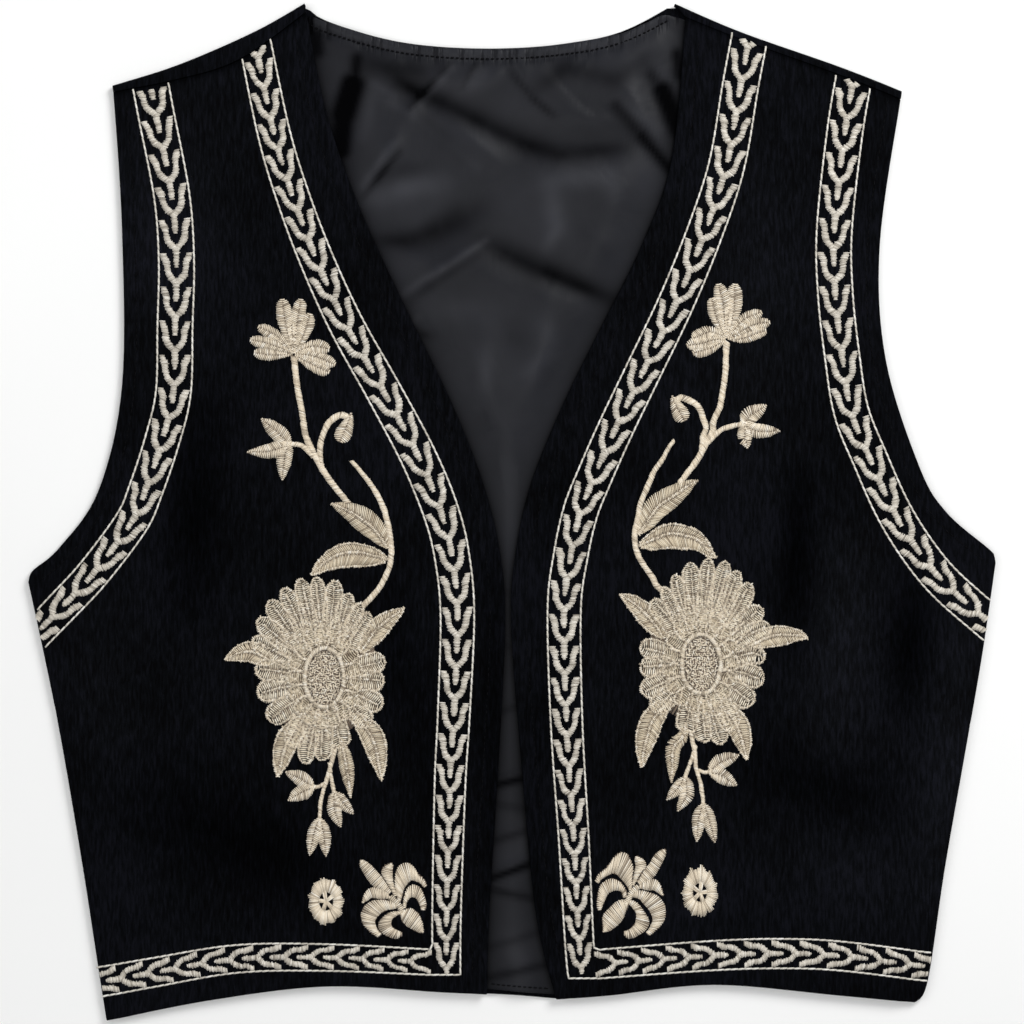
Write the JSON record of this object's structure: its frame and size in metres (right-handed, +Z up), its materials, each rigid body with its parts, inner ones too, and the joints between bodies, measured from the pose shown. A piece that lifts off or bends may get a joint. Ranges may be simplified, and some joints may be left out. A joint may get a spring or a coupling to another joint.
{
  "type": "embroidered vest",
  "caption": "Cropped sleeveless open-front vest of black crinkled cloth, laid flat, with raised cream floral embroidery and stitched borders.",
  "frame": {"origin": "centre of the bounding box of the laid garment, on the surface that it lies on", "axes": "+Z up out of the fronts, +Y from the hem to the neck, +X to the wearer's left"},
  "size_m": [0.4652, 0.4887, 0.0075],
  "materials": {
    "crinkle_cloth_black": "matt black crinkled woven cloth with fine upright ridges",
    "satin_charcoal": "smooth charcoal satin lining with a soft sheen",
    "thread_cream": "cream satin-stitch embroidery thread, soft lustre"
  },
  "bodies": {
    "root": {"back": "crinkle_cloth_black", "back_lining": "satin_charcoal", "bloom_centre_left": "thread_cream", "bloom_centre_right": "thread_cream", "bloom_long_petals_left": "thread_cream", "bloom_long_petals_right": "thread_cream", "bloom_short_petals_left": "thread_cream", "bloom_short_petals_right": "thread_cream", "border_left_armhole": "thread_cream", "border_left_front": "thread_cream", "border_left_hem": "thread_cream", "border_right_armhole": "thread_cream", "border_right_front": "thread_cream", "border_right_hem": "thread_cream", "bud_bottom_left": "thread_cream", "bud_bottom_right": "thread_cream", "bud_left_left": "thread_cream", "bud_left_right": "thread_cream", "bud_right_left": "thread_cream", "bud_right_right": "thread_cream", "flower_side_left": "thread_cream", "flower_side_right": "thread_cream", "flower_top_left": "thread_cream", "flower_top_right": "thread_cream", "front_left": "crinkle_cloth_black", "front_right": "crinkle_cloth_black", "leaf_flower_left_left": "thread_cream", "leaf_flower_left_right": "thread_cream", "leaf_flower_low_left_left": "thread_cream", "leaf_flower_low_left_right": "thread_cream", "leaf_flower_low_right_left": "thread_cream", "leaf_flower_low_right_right": "thread_cream", "leaf_flower_right_left": "thread_cream", "leaf_flower_right_right": "thread_cream", "leaf_flower_thin_left": "thread_cream", "leaf_flower_thin_right": "thread_cream", "leaf_lower_left": "thread_cream", "leaf_lower_right": "thread_cream", "leaf_upper_left": "thread_cream", "leaf_upper_right": "thread_cream", "palmette_left": "thread_cream", "palmette_right": "thread_cream", "rosette_left": "thread_cream", "rosette_right": "thread_cream", "stem_buds_left": "thread_cream", "stem_buds_right": "thread_cream", "stem_curl_left": "thread_cream", "stem_curl_right": "thread_cream", "stem_free_left": "thread_cream", "stem_free_right": "thread_cream", "stem_side_left": "thread_cream", "stem_side_right": "thread_cream", "stem_upper_left": "thread_cream", "stem_upper_right": "thread_cream"}
  },
  "joints": []
}
